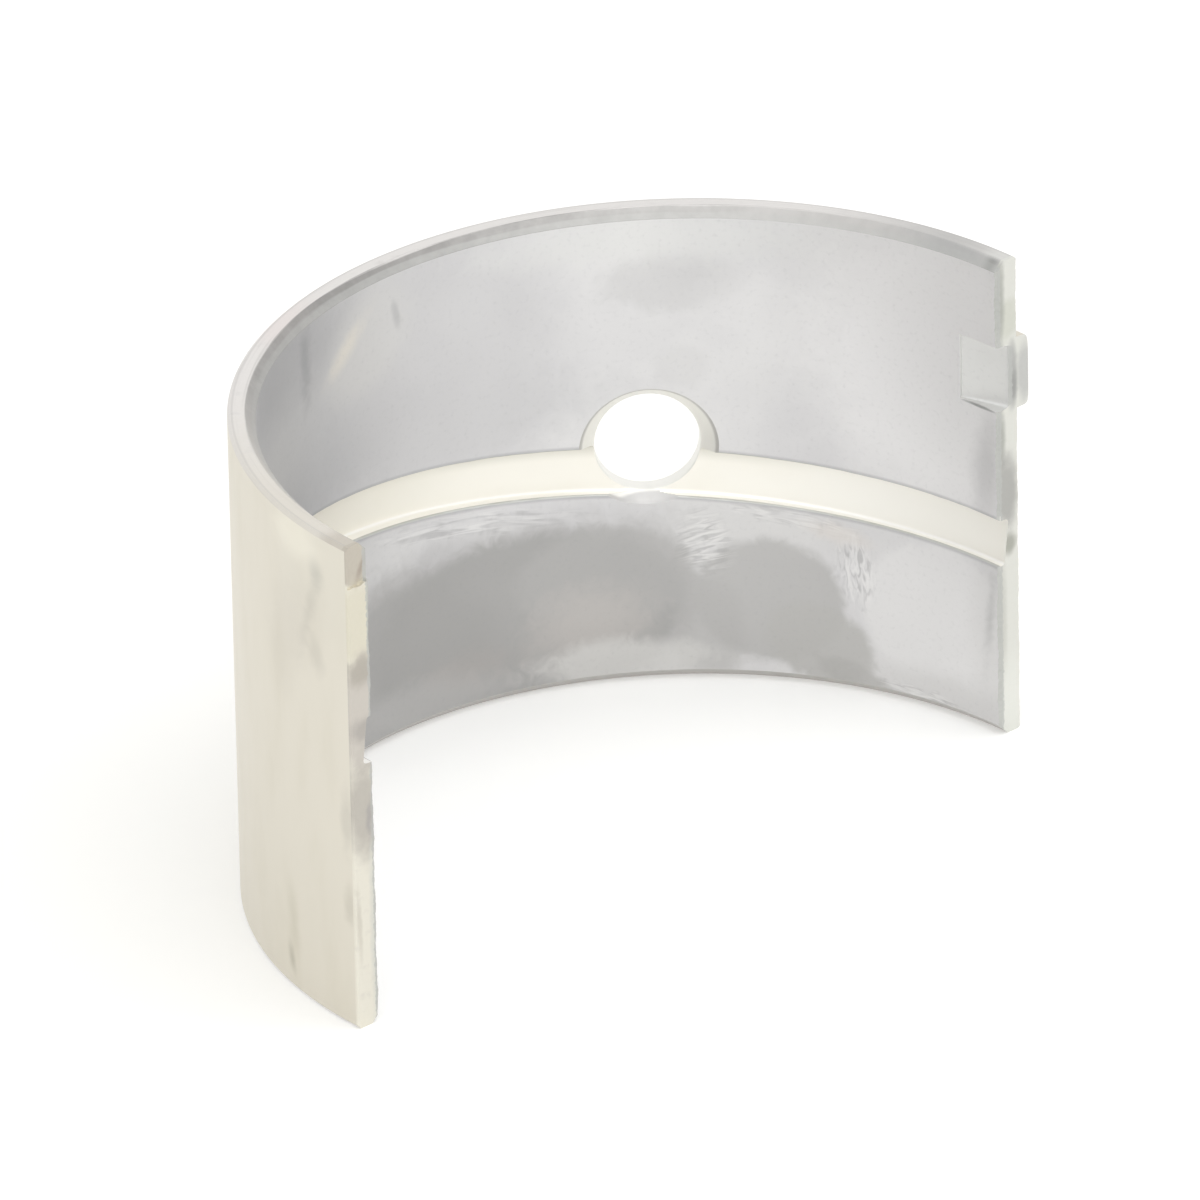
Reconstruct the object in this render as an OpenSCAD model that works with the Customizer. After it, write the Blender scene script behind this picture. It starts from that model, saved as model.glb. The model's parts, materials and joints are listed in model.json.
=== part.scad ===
// Half shell of a plain engine bearing, in millimetres.
// The bore axis is Z and the shell fills the side of +Y, so its two parting faces lie in the plane Y = 0.
// The origin is on the bore axis at half the shell's width. The end with the locating lug is towards +X.

/* [Strip] */
// Outside diameter, that of the housing bore the shell is pressed into
housing_d = 80; // [70:1:110]
// Wall thickness, steel back and lining together
wall = 2.5; // [2.2:0.1:3.5]
// Width along the bore axis
width = 47; // [42:1:60]

/* [Edges] */
// Chamfer between the bore and each rim
rim_chamfer = 0.9; // [0.3:0.1:1.1]
// Chamfer between the back and each rim
back_chamfer = 0.3; // [0.1:0.1:0.6]
// Chamfer between the bore and each parting face
parting_chamfer = 0.25; // [0.1:0.05:0.5]
// Broken edge between the back and each parting face
parting_back_chamfer = 0.15; // [0.1:0.05:0.4]

/* [Oil groove] */
// Width of the oil groove
groove_w = 4.5; // [3:0.5:7]
// Depth of the oil groove at the crown
groove_depth = 1.2; // [0.8:0.1:1.4]
// Angle by which the groove leans from one parting face to the other
groove_tilt = 6.5; // [0:0.5:8]
// Corner radius along the groove's floor
groove_corner_r = 0.35; // [0.2:0.05:0.6]
// Broken edge along each lip of the groove
groove_lip = 0.15; // [0.1:0.05:0.3]

/* [Oil hole] */
// Diameter of the oil hole
oil_hole_d = 9.5; // [7:0.5:12]
// Angle of the oil hole from the crown, towards the lug
oil_hole_angle = 37.5; // [20:0.5:45]
// Width of the countersink around the hole, measured at the bore
countersink_w = 1; // [0.5:0.1:1.2]

/* [Locating lug] */
// Width of the lug along the bore axis
lug_w = 7; // [5:0.5:9]
// Length of the lug round the back
lug_l = 5.4; // [4:0.2:7]
// Height that the lug stands out of the back at the parting face
lug_h = 1.3; // [0.8:0.1:1.6]
// Distance of the lug's centre from the middle of the width
lug_offset = 12; // [10:0.5:15]
// Radius of the lug's outer corners
lug_corner_r = 0.9; // [0.3:0.1:1.2]
// Width of the pressed pocket behind the lug
pocket_w = 6.3; // [4:0.1:7]
// Length of the pocket round the bore
pocket_l = 4.5; // [3:0.1:6]
// Depth of the pocket at the parting face
pocket_depth = 1.4; // [0.8:0.1:1.6]
// Depth of the pocket at its closed end
pocket_heel = 0.25; // [0.1:0.05:0.4]
// Radius of the pocket's floor corners
pocket_corner_r = 0.4; // [0.1:0.1:0.6]

/* [Hidden] */
$fn = 180;

// Amount by which a cutter runs past the face that it cuts
overrun = 1;

back_r = housing_d / 2;
bore_r = back_r - wall;
half_turn = 180;

// The hole's axis, measured from the end with the lug
oil_hole_turn = half_turn / 2 - oil_hole_angle;

// Share of the lug's length that keeps its full height
lug_flat_share = 0.45;
// Share of the wall that the lug's block reaches into the strip
lug_root_share = 0.4;

// Cross-section of the strip, with its chamfered rims. X is the distance from the bore axis.
module strip_section() {
    top = width / 2;
    polygon([
        [bore_r + rim_chamfer, -top],
        [back_r - back_chamfer, -top],
        [back_r, -top + back_chamfer],
        [back_r, top - back_chamfer],
        [back_r - back_chamfer, top],
        [bore_r + rim_chamfer, top],
        [bore_r, top - rim_chamfer],
        [bore_r, -top + rim_chamfer]
    ]);
}

// The strip bent round half a turn.
module half_ring() {
    rotate_extrude(angle = half_turn) strip_section();
}

// Cross-section of the groove, with round floor corners and broken lips.
module groove_section() {
    floor_r = bore_r + groove_depth;
    half_w = groove_w / 2;
    inner_r = bore_r - overrun;
    translate([inner_r, -half_w])
        square([floor_r - groove_corner_r - inner_r, groove_w]);
    translate([inner_r, groove_corner_r - half_w])
        square([floor_r - inner_r, groove_w - 2 * groove_corner_r]);
    for (side = [-1, 1])
        translate([floor_r - groove_corner_r, side * (half_w - groove_corner_r)])
            circle(r = groove_corner_r, $fn = 32);
    polygon([
        [inner_r, -half_w - groove_lip - overrun],
        [bore_r + groove_lip, -half_w],
        [bore_r + groove_lip, half_w],
        [inner_r, half_w + groove_lip + overrun]
    ]);
}

// The oil groove's cutter, a ring that leans about Y.
module oil_groove() {
    rotate([0, groove_tilt, 0])
        rotate_extrude() groove_section();
}

// The oil hole's cutter, a drill and a countersink on one radial axis.
module oil_hole() {
    hole_r = oil_hole_d / 2;
    mouth_r = bore_r - overrun;
    rotate([0, 90, oil_hole_turn]) {
        translate([0, 0, mouth_r])
            cylinder(h = wall + 2 * overrun, r = hole_r);
        translate([0, 0, mouth_r])
            cylinder(h = countersink_w + overrun, r1 = hole_r + countersink_w + overrun, r2 = hole_r);
    }
}

// A rectangle that reaches from x = 0 to x = far, with its two far corners rounded.
module rounded_end(far, across, corner) {
    translate([0, -across / 2])
        square([far - corner, across]);
    translate([0, corner - across / 2])
        square([far, across - 2 * corner]);
    for (side = [-1, 1])
        translate([far - corner, side * (across / 2 - corner)])
            circle(r = corner, $fn = 32);
}

// A block with the outline of its children in the plane of X and Y, trimmed to a rounded end seen along Y.
module pressed_block(far, across, corner) {
    intersection() {
        linear_extrude(height = across + 2 * overrun, center = true)
            children();
        rotate([-90, 0, 0])
            translate([0, 0, -overrun])
                linear_extrude(height = back_r)
                    rounded_end(far, across, corner);
    }
}

// The lug that stands out of the back. It is flush with the parting face and runs out along the back.
module locating_lug() {
    heel = lug_l / back_r * half_turn / PI;
    root_r = back_r - wall * lug_root_share;
    translate([0, 0, lug_offset])
        pressed_block(back_r + lug_h, lug_w, lug_corner_r)
            polygon([
                [root_r, 0],
                [back_r + lug_h, 0],
                [back_r + lug_h, lug_l * lug_flat_share],
                [back_r * cos(heel), back_r * sin(heel)],
                [root_r * cos(heel), root_r * sin(heel)]
            ]);
}

// The pocket that pressing the lug leaves in the bore.
module lug_pocket() {
    heel = pocket_l / bore_r * half_turn / PI;
    mouth_r = bore_r - overrun;
    heel_r = bore_r + pocket_heel;
    translate([0, 0, lug_offset])
        pressed_block(bore_r + pocket_depth, pocket_w, pocket_corner_r)
            polygon([
                [mouth_r, -overrun],
                [bore_r + pocket_depth, -overrun],
                [bore_r + pocket_depth, 0],
                [heel_r * cos(heel), heel_r * sin(heel)],
                [mouth_r * cos(heel), mouth_r * sin(heel)]
            ]);
}

// A prism that breaks an upright edge of a parting face. It cuts the corner off at 45 degrees, and inward is
// 1 where the strip lies outside the edge and -1 where it lies inside.
module edge_break(edge_r, size, inward) {
    translate([edge_r, 0, 0])
        linear_extrude(height = width + 2 * overrun, center = true)
            polygon([
                [inward * (size + overrun), -overrun],
                [-inward * overrun, size + overrun],
                [-inward * overrun, -overrun]
            ]);
}

// The broken edges of both parting faces. The back's edge at the lug's end is broken before the lug is added.
module bore_edge_breaks() {
    for (side = [0, 1])
        mirror([side, 0, 0])
            edge_break(bore_r, parting_chamfer, 1);
}

module back_edge_breaks() {
    for (side = [0, 1])
        mirror([side, 0, 0])
            edge_break(back_r, parting_back_chamfer, -1);
}

module bearing_shell() {
    color([0.80, 0.79, 0.76])
        difference() {
            union() {
                difference() {
                    half_ring();
                    back_edge_breaks();
                }
                locating_lug();
            }
            oil_groove();
            oil_hole();
            lug_pocket();
            bore_edge_breaks();
        }
}

bearing_shell();
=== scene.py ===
"""Half shell of a plain engine bearing: the finished piece, its metals and a small studio."""

import json
import math

import bmesh
import bpy
import numpy as np
from bpy.props import FloatProperty, FloatVectorProperty, IntProperty, PointerProperty
from mathutils import Matrix, Vector


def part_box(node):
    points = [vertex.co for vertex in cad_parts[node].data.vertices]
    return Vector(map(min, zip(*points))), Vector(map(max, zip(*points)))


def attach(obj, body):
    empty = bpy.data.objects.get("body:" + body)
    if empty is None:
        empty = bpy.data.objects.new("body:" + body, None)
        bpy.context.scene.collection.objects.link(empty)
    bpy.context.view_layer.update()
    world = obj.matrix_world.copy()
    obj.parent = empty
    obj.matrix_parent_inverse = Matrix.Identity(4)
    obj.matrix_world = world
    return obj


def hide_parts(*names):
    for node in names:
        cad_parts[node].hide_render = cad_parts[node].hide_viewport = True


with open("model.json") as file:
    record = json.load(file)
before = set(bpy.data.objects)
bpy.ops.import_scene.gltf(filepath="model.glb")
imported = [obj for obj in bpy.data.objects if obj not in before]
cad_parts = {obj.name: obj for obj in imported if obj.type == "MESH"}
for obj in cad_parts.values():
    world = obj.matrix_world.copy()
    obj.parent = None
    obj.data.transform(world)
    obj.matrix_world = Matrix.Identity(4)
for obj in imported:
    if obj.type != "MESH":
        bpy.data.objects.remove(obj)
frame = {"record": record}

bl_info = {
    "name": "Engine bearing shell",
    "version": (1, 0, 0),
    "blender": (4, 5, 0),
    "location": "3D View > Sidebar > Bearing shell",
    "description": "Makes the finished half shell of a plain engine bearing and its studio",
    "category": "Object",
}

MM = 0.001
HALF_TURN = math.pi
RIGHT_ANGLE = math.pi / 2

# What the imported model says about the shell.
NODE = "bearing_shell"
MOUNTS = {mount["name"]: mount for mount in frame["record"]["mounts"]}
LOW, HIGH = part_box(NODE)
BACK_R = HIGH.y
BORE_R = MOUNTS["journal_seat"]["dims"]["r_mm"] * MM
WIDTH = HIGH.z - LOW.z
HOLE_R = MOUNTS["oil_hole"]["dims"]["r_mm"] * MM
HOLE_AXIS = Vector(MOUNTS["oil_hole"]["axis"])
HOLE_TURN = math.atan2(HOLE_AXIS.y, HOLE_AXIS.x)
LUG_H = HIGH.x - BACK_R

# Points closer than this are one point, and edges shorter than a sliver are closed up.
SAME_POINT = 1e-4 * MM
SLIVER = 1e-3 * MM
# Faces that meet at more than this keep a sharp edge.
SHARP_ANGLE = math.radians(32)

# The order of the metals in the shell's mesh.
LINING, FLASH, GROOVE, RIM, PARTING = range(5)

# The kinds of node that come up most, and the sockets of a Mix node that holds colours.
MATH, VECTOR_MATH, MAP_RANGE = "ShaderNodeMath", "ShaderNodeVectorMath", "ShaderNodeMapRange"
COMBINE, SEPARATE, MAPPING = "ShaderNodeCombineXYZ", "ShaderNodeSeparateXYZ", "ShaderNodeMapping"
NOISE, TRANSFORM = "ShaderNodeTexNoise", "GeometryNodeTransform"
RECTANGLE = "GeometryNodeCurvePrimitiveQuadrilateral"
FILLET, SWEEP, BOOLEAN = "GeometryNodeFilletCurve", "GeometryNodeCurveToMesh", "GeometryNodeMeshBoolean"
MIX_A, MIX_B, MIX_OUT = 6, 7, 2

# The shell tree's inputs that hold sizes, with the name of each size, and its inputs that hold forms.
TREE_SIZES = {
    "Back radius": "back_r", "Bore radius": "bore_r", "Width": "width", "Rim chamfer": "rim_chamfer",
    "Back chamfer": "back_chamfer", "Edge radius": "edge_r", "Groove width": "groove_w",
    "Groove depth": "groove_depth", "Groove lean": "groove_tilt", "Groove corner": "groove_corner_r",
    "Groove lip": "groove_lip", "Hole radius": "hole_r", "Countersink": "countersink_w",
}
TREE_FORMS = ("Back breaker", "Bore breaker", "Lug", "Pocket", "Nick")


def linear(hex_colour):
    """The linear colour of an sRGB hex value, with an alpha of 1."""
    parts = [int(hex_colour[i : i + 2], 16) / 255 for i in (1, 3, 5)]
    return tuple(p / 12.92 if p <= 0.04045 else ((p + 0.055) / 1.055) ** 2.4 for p in parts) + (1.0,)


def node(tree, kind, inputs=(), out=0, **settings):
    """Adds a node with its settings and its values or links, and returns one of its outputs, or several
    where out is a tuple. inputs is a sequence or a dict of sockets. A list in it links several sockets."""
    made = tree.nodes.new(kind)
    for name, value in settings.items():
        setattr(made, name, value)
    for place, value in inputs.items() if isinstance(inputs, dict) else enumerate(inputs):
        for one in value if isinstance(value, list) else [value]:
            if isinstance(one, bpy.types.NodeSocket):
                tree.links.new(one, made.inputs[place])
            else:
                made.inputs[place].default_value = one
    if isinstance(out, tuple):
        return [made.outputs[place] for place in out]
    return made.outputs[out] if made.outputs else made


def length(name, description, default):
    """A property that holds a length in metres."""
    return FloatProperty(name=name, description=description, default=default, min=0.0, unit="LENGTH",
                         subtype="DISTANCE", precision=5)


def colour(name, description, hex_colour):
    """A property that holds a linear colour."""
    return FloatVectorProperty(name=name, description=description, default=linear(hex_colour), size=4,
                               min=0.0, max=1.0, subtype="COLOR")


class ShellSizes(bpy.types.PropertyGroup):
    """Sizes of the half shell."""

    back_r: length("Back radius", "Radius of the back", BACK_R)
    bore_r: length("Bore radius", "Radius of the bore", BORE_R)
    width: length("Width", "Width along the bore axis", WIDTH)
    rim_chamfer: length("Rim chamfer", "Chamfer between the bore and each rim", 0.9 * MM)
    back_chamfer: length("Back chamfer", "Chamfer between the back and each rim", 0.3 * MM)
    edge_r: length("Edge radius", "Rounding of the rims' edges", 0.1 * MM)
    parting_chamfer: length("Parting chamfer", "Chamfer between the bore and each parting face", 0.25 * MM)
    parting_back: length("Parting back edge", "Broken edge between the back and each parting face", 0.15 * MM)
    groove_w: length("Groove width", "Width of the oil groove", 4.5 * MM)
    groove_depth: length("Groove depth", "Depth of the oil groove at the crown", 1.2 * MM)
    groove_tilt: FloatProperty(name="Groove lean", description="Angle by which the groove leans",
                               default=math.radians(6.5), subtype="ANGLE")
    groove_corner_r: length("Groove corner", "Corner radius along the groove's floor", 0.35 * MM)
    groove_lip: length("Groove lip", "Broken edge along each lip of the groove", 0.12 * MM)
    hole_r: length("Hole radius", "Radius of the oil hole", HOLE_R)
    countersink_w: length("Countersink", "Width of the countersink at the bore", 1.0 * MM)
    lug_w: length("Lug width", "Width of the locating lug", 7.0 * MM)
    lug_l: length("Lug length", "Length of the lug round the back", 5.4 * MM)
    lug_h: length("Lug height", "Height of the lug over the back", LUG_H)
    lug_offset: length("Lug offset", "Distance of the lug from the middle of the width", 12.0 * MM)
    pocket_w: length("Pocket width", "Width of the pocket behind the lug", 6.3 * MM)
    pocket_l: length("Pocket length", "Length of the pocket round the bore", 4.5 * MM)
    pocket_depth: length("Pocket depth", "Depth of the pocket at the parting face", 1.4 * MM)
    pocket_heel: length("Pocket heel", "Depth of the pocket at its closed end", 0.25 * MM)
    lining: length("Lining", "Thickness of the lining rolled onto the steel", 0.45 * MM)
    nick_l: length("Nick length", "Length of the dent at the top of the plain parting face", 3.9 * MM)
    nick_depth: length("Nick depth", "Depth of that dent at the bore", 0.45 * MM)
    steps: IntProperty(name="Steps", description="Steps round the half turn", default=360, min=24, max=720)


class ShellColours(bpy.types.PropertyGroup):
    """Colours of the metals and of the stage."""

    lining: colour("Lining", "Bare bearing alloy", "#DEDDDD")
    lining_cloud: colour("Clouded lining", "Bearing alloy under a thin film of oil", "#D7D6D7")
    flash: colour("Tin flash", "Tin over the steel back", "#DFDACE")
    flash_thin: colour("Thin flash", "Back where the flash is thin", "#DCD7CA")
    groove: colour("Groove", "Tinned floor of the oil groove", "#FAF7EE")
    groove_warm: colour("Warm groove", "Groove where the tin has yellowed", "#F5F1E6")
    rim: colour("Rim", "Tinned edge of the strip", "#E4E1DE")
    rim_grey: colour("Grey rim", "Rim where the tin is rubbed", "#CFCCC9")
    parting: colour("Parting face", "Tinned parting faces", "#E4E0D4")
    parting_grey: colour("Grey parting face", "Parting faces where the steel shows", "#CFCAC2")
    section: colour("Lining's section", "Cut edge of the lining", "#BABBB8")
    floor: colour("Floor", "Pale floor", "#F2F2F0")


# Forms

def mesh_object(name, points, faces):
    """A closed mesh object in the scene, with its faces turned outwards."""
    mesh = bpy.data.meshes.new(name)
    mesh.from_pydata([tuple(p) for p in points], [], faces)
    form = bmesh.new()
    form.from_mesh(mesh)
    bmesh.ops.remove_doubles(form, verts=form.verts, dist=SAME_POINT)
    bmesh.ops.recalc_face_normals(form, faces=form.faces)
    form.to_mesh(mesh)
    form.free()
    made = bpy.data.objects.new(name, mesh)
    bpy.context.scene.collection.objects.link(made)
    return made


def grid_block(name, counts, place):
    """A closed block of counts cells each way. place turns shares from 0 to 1 into a point."""
    points, index, faces = [], {}, []

    def corner(cell):
        if cell not in index:
            index[cell] = len(points)
            points.append(place(*[c / n for c, n in zip(cell, counts)]))
        return index[cell]

    for axis in range(3):
        first, second = [a for a in range(3) if a != axis]
        for side in (0, counts[axis]):
            for i in range(counts[first]):
                for j in range(counts[second]):
                    quad = []
                    for di, dj in ((0, 0), (1, 0), (1, 1), (0, 1)):
                        cell = [0, 0, 0]
                        cell[axis], cell[first], cell[second] = side, i + di, j + dj
                        quad.append(corner(tuple(cell)))
                    faces.append(quad)
    return mesh_object(name, points, faces)


def rounded_share(side, power):
    """Height of a superellipse over -1 to 1, which is 1 in the middle and rounds off to 0 at both ends."""
    return max(0.0, 1.0 - abs(side) ** power) ** (1.0 / power)


def lug_form(sizes):
    """The lug: full height near the parting face, then a soft slope down to the back. Its upper corner is
    rounder than its lower one, and its end sinks a little into the back."""
    root_share, flat_share = 0.4, 0.42
    root = sizes.back_r - root_share * (sizes.back_r - sizes.bore_r)
    overrun, sunk = 0.1 * MM, 0.02 * MM
    upper_power, lower_power = 5.5, 8.0

    def place(depth, along, across):
        y = along * (sizes.lug_l + overrun) - overrun
        side = math.sin((2 * across - 1) * RIGHT_ANGLE)
        run = min(1.0, max(0.0, (y / sizes.lug_l - flat_share) / (1 - flat_share)))
        rise = sizes.lug_h * (1 - run * run * (3 - 2 * run))
        corner = rounded_share(side, upper_power if side > 0 else lower_power)
        outer = math.sqrt(sizes.back_r**2 - y * y) + rise * corner - sunk * run
        top = min(outer, sizes.back_r + sizes.lug_h)
        return (root + depth * (top - root), y, sizes.lug_offset + side * sizes.lug_w / 2)

    return grid_block("lug_form", (4, 20, 28), place)


def pocket_form(sizes):
    """The pocket that pressing the lug leaves in the bore: deepest at the parting face."""
    overrun, corner_power = 0.43 * MM, 9.0

    def place(depth, along, across):
        y = along * (sizes.pocket_l + overrun) - overrun
        side = math.sin((2 * across - 1) * RIGHT_ANGLE)
        run = max(0.0, y) / sizes.pocket_l
        bore = math.sqrt(sizes.bore_r**2 - y * y)
        deep = sizes.pocket_depth + (sizes.pocket_heel - sizes.pocket_depth) * run
        corner = rounded_share(side, corner_power)
        inner = bore - overrun
        return (inner + depth * (overrun + deep * corner), y, sizes.lug_offset + side * sizes.pocket_w / 2)

    return grid_block("pocket_form", (6, 20, 28), place)


def waver(place, seed):
    """A soft wave between about -1 and 1 along a length in metres, different for each seed."""
    waves = ((0.9, 1.0), (2.3, 0.6), (5.1, 0.5), (11.7, 0.4))
    return sum(size * math.sin(place / MM * rate * 0.9 + seed * (i + 1.7))
               for i, (rate, size) in enumerate(waves)) / 2.0


def edge_breaker(name, sizes, edge_r, size, inward, uneven):
    """Two prisms that break the upright edges of both parting faces at edge_r, a little unevenly. inward is
    1 where the strip lies outside the edge and -1 where it lies inside."""
    far, over, steps = sizes.width / 2 + MM, 0.8 * MM, 280
    points, faces = [], []
    for side in (-1, 1):
        start = len(points)
        for i in range(steps + 1):
            z = far * (2 * i / steps - 1)
            reach = size * (1 + uneven * waver(z, side * 2.6 + 4)) + over
            outline = [(inward * reach, -over), (-inward * over, reach), (-inward * over, -over)]
            points += [(side * (edge_r + x), y, z) for x, y in outline]
        last = start + 3 * steps
        faces += [[start, start + 1, start + 2], [last, last + 1, last + 2]]
        for ring in range(start, last, 3):
            for corner in range(3):
                here, beside = ring + corner, ring + (corner + 1) % 3
                faces.append([here, beside, beside + 3, here + 3])
    return mesh_object(name, points, faces)


def nick_form(sizes):
    """The dent at the top of the plain parting face: deeper towards the bore, with a torn lower edge."""
    wall = sizes.back_r - sizes.bore_r
    spare, aside = 0.5 * MM, 0.4 * MM
    top = sizes.width / 2 + spare
    back_share, rough, torn, shallowest = 0.3, 0.04 * MM, 0.22 * MM, 0.02 * MM

    def place(across, rise, along):
        inward = across * (wall + 2 * aside) - aside
        depth = sizes.nick_depth * (back_share + (1 - back_share) * inward / wall) + rough * waver(inward, 9)
        low = sizes.width / 2 - sizes.nick_l + torn * waver(inward, 3)
        z = low + along * (top - low)
        return (-sizes.back_r + inward, -spare + rise * (spare + max(depth, shallowest)), z)

    return grid_block("nick_form", (16, 2, 8), place)


def shell_tree():
    """The shell as geometry nodes: a section swept round half a turn, less a leaning groove and an oil
    hole, with the lug added and the pocket and edges cut."""
    tree = bpy.data.node_groups.new("Bent strip", "GeometryNodeTree")
    sockets = {**dict.fromkeys(TREE_SIZES, "Float"), "Hole turn": "Float", "Steps": "Int",
               **dict.fromkeys(TREE_FORMS, "Object"), "Material": "Material"}
    for name, kind in sockets.items():
        tree.interface.new_socket(name=name, in_out="INPUT", socket_type="NodeSocket" + kind)
    tree.interface.new_socket(name="Shell", in_out="OUTPUT", socket_type="NodeSocketGeometry")
    given = {s.name: s for s in tree.nodes.new("NodeGroupInput").outputs}
    back, bore, width = given["Back radius"], given["Bore radius"], given["Width"]
    position = node(tree, "GeometryNodeInputPosition")
    x, y, z = node(tree, SEPARATE, [position], out=(0, 1, 2))
    outside = node(tree, MATH, (x, 0.0), operation="GREATER_THAN")

    # The strip. On its section, and on the groove's, X points to the back and Y along the width.
    wall = node(tree, MATH, (back, bore), operation="SUBTRACT")
    middle_r = node(tree, MATH, (back, bore), operation="ADD")
    middle_r = node(tree, MATH, (middle_r, 0.5), operation="MULTIPLY")
    section = node(tree, RECTANGLE, {"Width": wall, "Height": width}, mode="RECTANGLE")
    chamfer = node(tree, "GeometryNodeSwitch", {"Switch": outside, "False": given["Rim chamfer"],
                                                "True": given["Back chamfer"]}, input_type="FLOAT")
    section = node(tree, FILLET, {"Curve": section, "Count": 1, "Radius": chamfer}, mode="POLY")
    section = node(tree, FILLET, {"Curve": section, "Count": 4, "Radius": given["Edge radius"]}, mode="POLY")
    spare_turn = math.radians(0.5)
    path = node(tree, "GeometryNodeCurveArc", {"Resolution": given["Steps"], "Radius": middle_r,
                "Start Angle": -spare_turn, "Sweep Angle": HALF_TURN + 2 * spare_turn}, mode="RADIUS")
    strip = node(tree, SWEEP, {"Curve": path, "Profile Curve": section, "Fill Caps": True})

    # The groove, a ring that leans about Y. Its floor's corners are round, and even points along its
    # section keep those from folding. Its lips flare out unevenly where it meets the bore.
    over, lip_soft, sink_soft = 0.6 * MM, 0.08 * MM, 0.15 * MM
    ring_r = node(tree, MATH, (given["Groove depth"], over), operation="SUBTRACT")
    ring_r = node(tree, MATH, (ring_r, 0.5, bore), operation="MULTIPLY_ADD")
    deep = node(tree, MATH, (given["Groove depth"], over), operation="ADD")
    section = node(tree, RECTANGLE, {"Width": deep, "Height": given["Groove width"]}, mode="RECTANGLE")
    corner = node(tree, MATH, (outside, given["Groove corner"]), operation="MULTIPLY")
    section = node(tree, FILLET, {"Curve": section, "Count": 5, "Radius": corner}, mode="POLY")
    section = node(tree, "GeometryNodeResampleCurve", {"Curve": section, "Count": 112}, mode="COUNT")
    steps = node(tree, MATH, (given["Steps"], 2.0), operation="MULTIPLY")
    path = node(tree, "GeometryNodeCurvePrimitiveCircle", {"Resolution": steps, "Radius": ring_r},
                mode="RADIUS")
    ring = node(tree, SWEEP, {"Curve": path, "Profile Curve": section})
    turn = node(tree, COMBINE, (0.0, given["Groove lean"], 0.0))
    ring = node(tree, TRANSFORM, {"Geometry": ring, "Rotation": turn})
    uneven = node(tree, NOISE, {"Vector": position, "Scale": 0.35 / MM, "Detail": 2.0})
    lip = node(tree, MATH, (uneven, 1.4, 0.3), operation="MULTIPLY_ADD")
    lip = node(tree, MATH, (given["Groove lip"], lip), operation="MULTIPLY")
    reach = node(tree, COMBINE, (x, y, 0.0))
    reach = node(tree, VECTOR_MATH, [reach], out="Value", operation="LENGTH")
    flare = node(tree, MATH, (bore, lip), operation="ADD")
    flare = node(tree, MATH, (flare, reach), operation="SUBTRACT")
    flare = node(tree, MATH, (0.0, flare, lip_soft), operation="SMOOTH_MAX")
    above = node(tree, MATH, [given["Groove lean"]], operation="TANGENT")
    above = node(tree, MATH, (x, above, z), operation="MULTIPLY_ADD")
    above = node(tree, MATH, [above], operation="SIGN")
    flare = node(tree, MATH, (above, flare), operation="MULTIPLY")
    shift = node(tree, COMBINE, (0.0, 0.0, flare))
    ring = node(tree, "GeometryNodeSetPosition", {"Geometry": ring, "Offset": shift})

    # The oil hole, a tube along Z that widens to the countersink, turned to its radial axis.
    hole_l = node(tree, MATH, (wall, 4 * over), operation="ADD")
    tube = node(tree, "GeometryNodeMeshCylinder", {"Vertices": 128, "Side Segments": 48,
                "Radius": given["Hole radius"], "Depth": hole_l}, fill_type="NGON")
    shift = node(tree, COMBINE, (0.0, 0.0, middle_r))
    tube = node(tree, TRANSFORM, {"Geometry": tube, "Translation": shift})
    widen = node(tree, MATH, (bore, given["Countersink"]), operation="ADD")
    widen = node(tree, MATH, (widen, z), operation="SUBTRACT")
    widen = node(tree, MATH, (0.0, widen, sink_soft), operation="SMOOTH_MAX")
    widen = node(tree, MATH, (widen, given["Hole radius"]), operation="DIVIDE")
    widen = node(tree, MATH, (1.0, widen), operation="ADD")
    widen = node(tree, COMBINE, (widen, widen, 1.0))
    wide = node(tree, VECTOR_MATH, (position, widen), operation="MULTIPLY")
    tube = node(tree, "GeometryNodeSetPosition", {"Geometry": tube, "Position": wide})
    turn = node(tree, COMBINE, (0.0, RIGHT_ANGLE, given["Hole turn"]))
    tube = node(tree, TRANSFORM, {"Geometry": tube, "Rotation": turn})

    # What lies past the plane of the parting faces is trimmed.
    size = node(tree, COMBINE, (back, back, width))
    size = node(tree, VECTOR_MATH, (size, (4.0, 1.0, 2.0)), operation="MULTIPLY")
    trim = node(tree, "GeometryNodeMeshCube", {"Size": size})
    shift = node(tree, VECTOR_MATH, {0: (0.0, -0.5, 0.0), "Scale": back}, operation="SCALE")
    trim = node(tree, TRANSFORM, {"Geometry": trim, "Translation": shift})

    forms = {name: node(tree, "GeometryNodeObjectInfo", {"Object": given[name]}, out="Geometry")
             for name in TREE_FORMS}
    shell = node(tree, BOOLEAN, {"Mesh 1": strip, "Mesh 2": [forms["Back breaker"]]},
                 operation="DIFFERENCE", solver="MANIFOLD")
    shell = node(tree, BOOLEAN, {"Mesh 2": [shell, forms["Lug"]]}, operation="UNION", solver="MANIFOLD")
    for cutter in (ring, tube, forms["Pocket"], forms["Bore breaker"], forms["Nick"], trim):
        shell = node(tree, BOOLEAN, {"Mesh 1": shell, "Mesh 2": [cutter]}, operation="DIFFERENCE",
                     solver="MANIFOLD")
    shell = node(tree, "GeometryNodeRealizeInstances", {"Geometry": shell})
    shell = node(tree, "GeometryNodeSetMaterial", {"Geometry": shell, "Material": given["Material"]})
    node(tree, "NodeGroupOutput", [shell])
    return tree


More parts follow.
